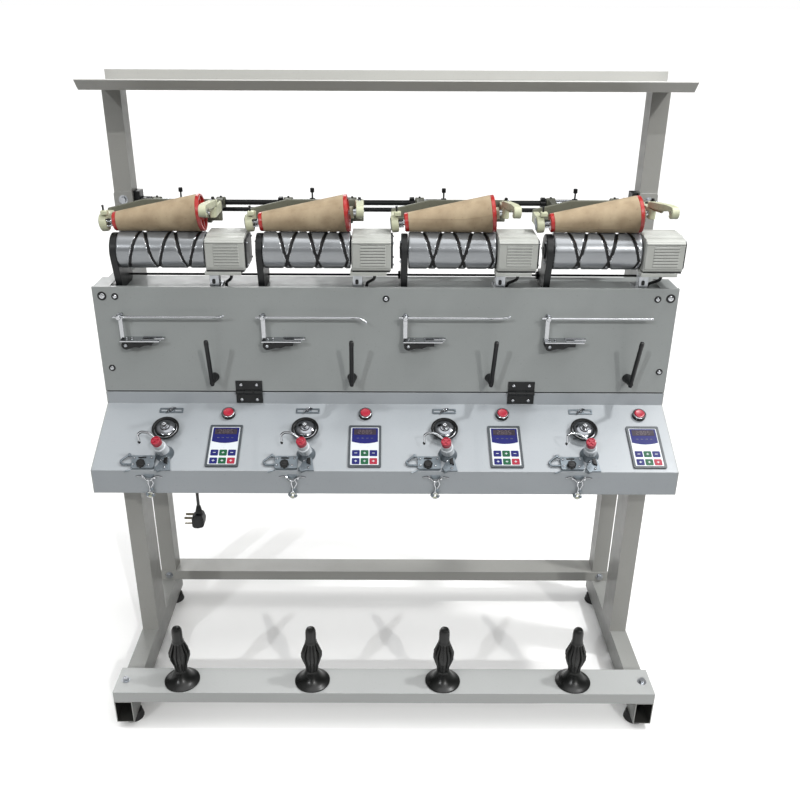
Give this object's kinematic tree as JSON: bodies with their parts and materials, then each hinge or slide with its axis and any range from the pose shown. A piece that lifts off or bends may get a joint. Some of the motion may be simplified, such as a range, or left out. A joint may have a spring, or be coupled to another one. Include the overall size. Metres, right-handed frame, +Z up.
{
  "type": "yarn cone winder",
  "caption": "Floor-standing cone winder with grooved drums, paper cones in swinging cradles, a sloping keypad console, a hinged front panel, cone holders below and a top tray.",
  "frame": {"origin": "floor level at the middle of the machine's bounding box", "axes": "+X to the operator's right along the row of heads, +Y away from the operator, +Z up"},
  "size_m": [1.23, 0.52, 1.395],
  "materials": {
    "grey_paint": "satin",
    "light_grey_paint": "satin",
    "cream_casting": "satin",
    "bright_steel": "polished",
    "black_steel": "satin",
    "black_plastic": "satin",
    "red_plastic": "gloss",
    "brown_paper": "matte",
    "black_rubber": "matte"
  },
  "bodies": {
    "stand": {"skids": "grey_paint", "rubber_feet": "black_rubber", "front_posts": "grey_paint", "rear_posts": "grey_paint", "upper_posts": "grey_paint", "bobbin_board": "light_grey_paint", "rear_channel": "grey_paint", "top_tray": "grey_paint", "console_cover": "light_grey_paint", "end_plates": "grey_paint", "head_frame": "grey_paint", "control_box": "grey_paint", "lower_hinge_leaves": "black_plastic", "head_rods": "black_steel", "drum_brackets": "black_steel", "motor_housings": "cream_casting", "keypads": "black_plastic", "button_collars": "black_plastic", "yarn_tensioners": "bright_steel", "cone_holders": "black_plastic", "frame_bolts": "bright_steel", "cord_gland": "black_plastic", "power_cord": "black_rubber", "cord_hank": "black_rubber", "power_plug": "black_rubber"},
    "panel": {"front_panel": "grey_paint", "upper_hinge_leaves": "black_plastic", "feeler_brackets": "bright_steel"},
    "drum_1": {"drum_1": "bright_steel"},
    "cradle_1": {"cradle_1": "cream_casting"},
    "handle_1": {"handle_1": "cream_casting"},
    "cone_1": {"paper_cone_1": "brown_paper", "chucks_1": "red_plastic"},
    "feeler_1": {"feeler_1": "bright_steel"},
    "lever_1": {"lever_1": "black_plastic"},
    "button_1": {"button_cap_1": "red_plastic"},
    "drum_2": {"drum_2": "bright_steel"},
    "cradle_2": {"cradle_2": "cream_casting"},
    "handle_2": {"handle_2": "cream_casting"},
    "cone_2": {"paper_cone_2": "brown_paper", "chucks_2": "red_plastic"},
    "feeler_2": {"feeler_2": "bright_steel"},
    "lever_2": {"lever_2": "black_plastic"},
    "button_2": {"button_cap_2": "red_plastic"},
    "drum_3": {"drum_3": "bright_steel"},
    "cradle_3": {"cradle_3": "cream_casting"},
    "handle_3": {"handle_3": "cream_casting"},
    "cone_3": {"paper_cone_3": "brown_paper", "chucks_3": "red_plastic"},
    "feeler_3": {"feeler_3": "bright_steel"},
    "lever_3": {"lever_3": "black_plastic"},
    "button_3": {"button_cap_3": "red_plastic"},
    "drum_4": {"drum_4": "bright_steel"},
    "cradle_4": {"cradle_4": "cream_casting"},
    "handle_4": {"handle_4": "cream_casting"},
    "cone_4": {"paper_cone_4": "brown_paper", "chucks_4": "red_plastic"},
    "feeler_4": {"feeler_4": "bright_steel"},
    "lever_4": {"lever_4": "black_plastic"},
    "button_4": {"button_cap_4": "red_plastic"}
  },
  "joints": [
    {"name": "panel_hinge", "type": "hinge", "parent": "stand", "child": "panel", "pos_m": [0, -0.029, 0.7485], "axis": [1, 0, 0], "range_deg": [0, 75]},
    {"name": "drum_1_spin", "type": "hinge", "parent": "stand", "child": "drum_1", "pos_m": [-0.45, 0.01, 1.058], "axis": [1, 0, 0], "continuous": true},
    {"name": "cradle_1_lift", "type": "hinge", "parent": "stand", "child": "cradle_1", "pos_m": [-0.45, 0.226, 1.112], "axis": [-1, 0, 0], "range_deg": [0, 40]},
    {"name": "cone_1_spin", "type": "hinge", "parent": "cradle_1", "child": "cone_1", "pos_m": [-0.553, 0.015, 1.11636], "axis": [0.9945, 0, 0.1045], "continuous": true},
    {"name": "handle_1_turn", "type": "hinge", "parent": "cradle_1", "child": "handle_1", "pos_m": [-0.35397, 0.015, 1.15], "axis": [0, 0, 1], "range_deg": [0, 25]},
    {"name": "feeler_1_swing", "type": "hinge", "parent": "panel", "child": "feeler_1", "pos_m": [-0.558, -0.046, 0.928], "axis": [0, 1, 0], "range_deg": [-8, 20]},
    {"name": "lever_1_tilt", "type": "hinge", "parent": "panel", "child": "lever_1", "pos_m": [-0.372, -0.059, 0.785], "axis": [0, 1, 0], "range_deg": [-8, 30]},
    {"name": "button_1_press", "type": "slide", "parent": "stand", "child": "button_1", "axis": [0, 0.4539, -0.891], "range_m": [0, 0.003], "stiffness_N_per_m": 250, "springref_m": -0.003},
    {"name": "drum_2_spin", "type": "hinge", "parent": "stand", "child": "drum_2", "pos_m": [-0.15, 0.01, 1.058], "axis": [1, 0, 0], "continuous": true},
    {"name": "cradle_2_lift", "type": "hinge", "parent": "stand", "child": "cradle_2", "pos_m": [-0.15, 0.226, 1.112], "axis": [-1, 0, 0], "range_deg": [0, 40]},
    {"name": "cone_2_spin", "type": "hinge", "parent": "cradle_2", "child": "cone_2", "pos_m": [-0.253, 0.015, 1.11636], "axis": [0.9945, 0, 0.1045], "continuous": true},
    {"name": "handle_2_turn", "type": "hinge", "parent": "cradle_2", "child": "handle_2", "pos_m": [-0.05398, 0.015, 1.15], "axis": [0, 0, 1], "range_deg": [0, 25]},
    {"name": "feeler_2_swing", "type": "hinge", "parent": "panel", "child": "feeler_2", "pos_m": [-0.258, -0.046, 0.928], "axis": [0, 1, 0], "range_deg": [-8, 20]},
    {"name": "lever_2_tilt", "type": "hinge", "parent": "panel", "child": "lever_2", "pos_m": [-0.072, -0.059, 0.785], "axis": [0, 1, 0], "range_deg": [-8, 30]},
    {"name": "button_2_press", "type": "slide", "parent": "stand", "child": "button_2", "axis": [0, 0.4539, -0.891], "range_m": [0, 0.003], "stiffness_N_per_m": 250, "springref_m": -0.003},
    {"name": "drum_3_spin", "type": "hinge", "parent": "stand", "child": "drum_3", "pos_m": [0.15, 0.01, 1.058], "axis": [1, 0, 0], "continuous": true},
    {"name": "cradle_3_lift", "type": "hinge", "parent": "stand", "child": "cradle_3", "pos_m": [0.15, 0.226, 1.112], "axis": [-1, 0, 0], "range_deg": [0, 40]},
    {"name": "cone_3_spin", "type": "hinge", "parent": "cradle_3", "child": "cone_3", "pos_m": [0.047, 0.015, 1.11636], "axis": [0.9945, 0, 0.1045], "continuous": true},
    {"name": "handle_3_turn", "type": "hinge", "parent": "cradle_3", "child": "handle_3", "pos_m": [0.24602, 0.015, 1.15], "axis": [0, 0, 1], "range_deg": [0, 25]},
    {"name": "feeler_3_swing", "type": "hinge", "parent": "panel", "child": "feeler_3", "pos_m": [0.042, -0.046, 0.928], "axis": [0, 1, 0], "range_deg": [-8, 20]},
    {"name": "lever_3_tilt", "type": "hinge", "parent": "panel", "child": "lever_3", "pos_m": [0.228, -0.059, 0.785], "axis": [0, 1, 0], "range_deg": [-8, 30]},
    {"name": "button_3_press", "type": "slide", "parent": "stand", "child": "button_3", "axis": [0, 0.4539, -0.891], "range_m": [0, 0.003], "stiffness_N_per_m": 250, "springref_m": -0.003},
    {"name": "drum_4_spin", "type": "hinge", "parent": "stand", "child": "drum_4", "pos_m": [0.45, 0.01, 1.058], "axis": [1, 0, 0], "continuous": true},
    {"name": "cradle_4_lift", "type": "hinge", "parent": "stand", "child": "cradle_4", "pos_m": [0.45, 0.226, 1.112], "axis": [-1, 0, 0], "range_deg": [0, 40]},
    {"name": "cone_4_spin", "type": "hinge", "parent": "cradle_4", "child": "cone_4", "pos_m": [0.347, 0.015, 1.11636], "axis": [0.9945, 0, 0.1045], "continuous": true},
    {"name": "handle_4_turn", "type": "hinge", "parent": "cradle_4", "child": "handle_4", "pos_m": [0.54602, 0.015, 1.15], "axis": [0, 0, 1], "range_deg": [0, 25]},
    {"name": "feeler_4_swing", "type": "hinge", "parent": "panel", "child": "feeler_4", "pos_m": [0.342, -0.046, 0.928], "axis": [0, 1, 0], "range_deg": [-8, 20]},
    {"name": "lever_4_tilt", "type": "hinge", "parent": "panel", "child": "lever_4", "pos_m": [0.528, -0.059, 0.785], "axis": [0, 1, 0], "range_deg": [-8, 30]},
    {"name": "button_4_press", "type": "slide", "parent": "stand", "child": "button_4", "axis": [0, 0.4539, -0.891], "range_m": [0, 0.003], "stiffness_N_per_m": 250, "springref_m": -0.003}
  ],
  "couplings": [
    {"joint": "cone_1_spin", "follows": "drum_1_spin", "ratio": -1.3133},
    {"joint": "cone_2_spin", "follows": "drum_2_spin", "ratio": -1.3133},
    {"joint": "cone_3_spin", "follows": "drum_3_spin", "ratio": -1.3133},
    {"joint": "cone_4_spin", "follows": "drum_4_spin", "ratio": -1.3133}
  ]
}
